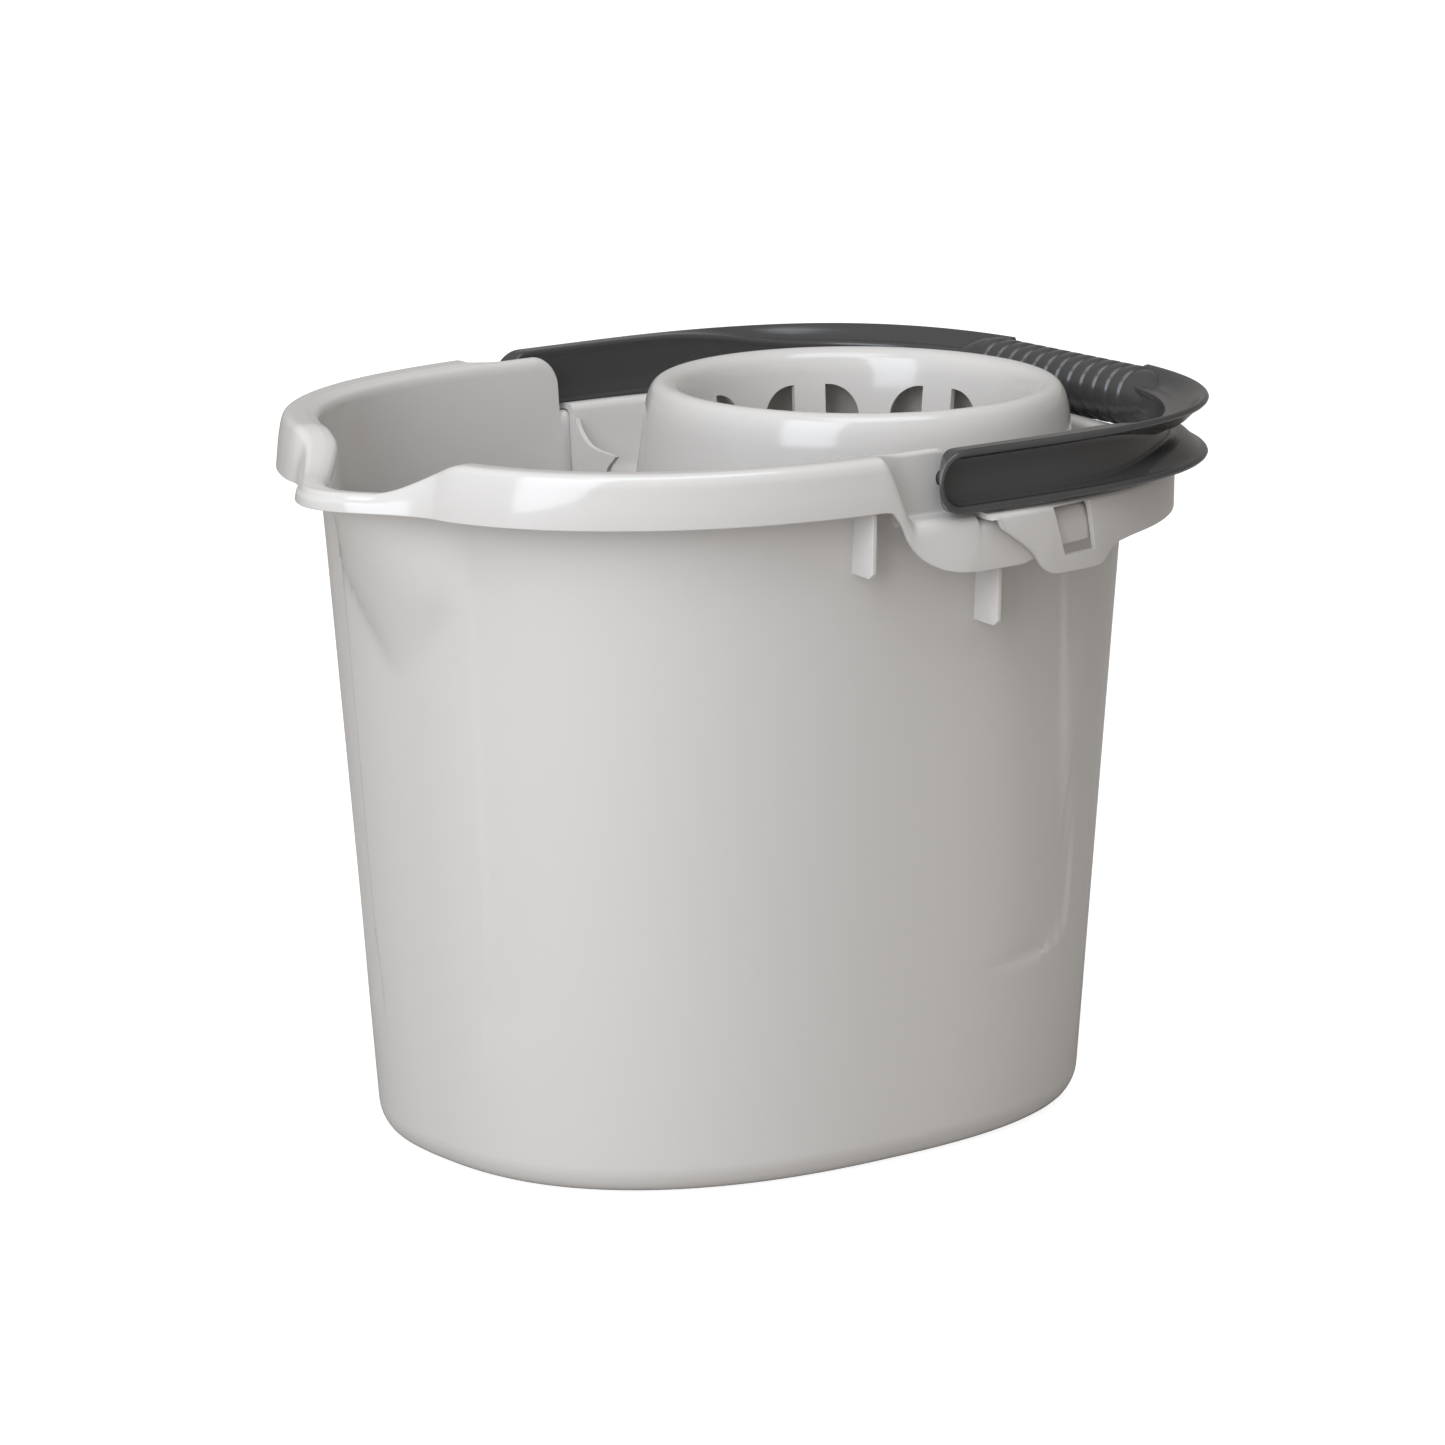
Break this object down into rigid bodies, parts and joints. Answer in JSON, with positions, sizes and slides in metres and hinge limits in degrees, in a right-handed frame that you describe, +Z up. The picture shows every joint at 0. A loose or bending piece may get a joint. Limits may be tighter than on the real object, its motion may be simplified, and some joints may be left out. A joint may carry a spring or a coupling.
{
  "type": "mop bucket with wringer",
  "caption": "Oval mop bucket with a pouring spout, a lift-out wringer insert with a slotted cone, and a folding bail handle with a ridged grip.",
  "frame": {"origin": "on the floor under the centre of the object's bounding box", "axes": "+Z up, +Y across the object and square to its mirror plane, +X along the length toward the folded handle's grip, so the spout points to -X"},
  "size_m": [0.3634, 0.2742, 0.2705],
  "materials": {
    "bucket": "glossy pale warm grey moulded polypropylene",
    "wringer": "glossy pale warm grey moulded polypropylene",
    "handle": "satin anthracite moulded polypropylene"
  },
  "bodies": {
    "bucket": {"bucket": "bucket"},
    "wringer": {"wringer": "wringer"},
    "handle": {"handle": "handle"}
  },
  "joints": [
    {"name": "handle_swing", "type": "hinge", "parent": "bucket", "child": "handle", "pos_m": [0.0075, 0, 0.2582], "axis": [0, -1, 0], "range_deg": [0, 135]},
    {"name": "wringer_lift", "type": "slide", "parent": "bucket", "child": "wringer", "axis": [0, 0, 1], "range_m": [0, 0.31]}
  ]
}
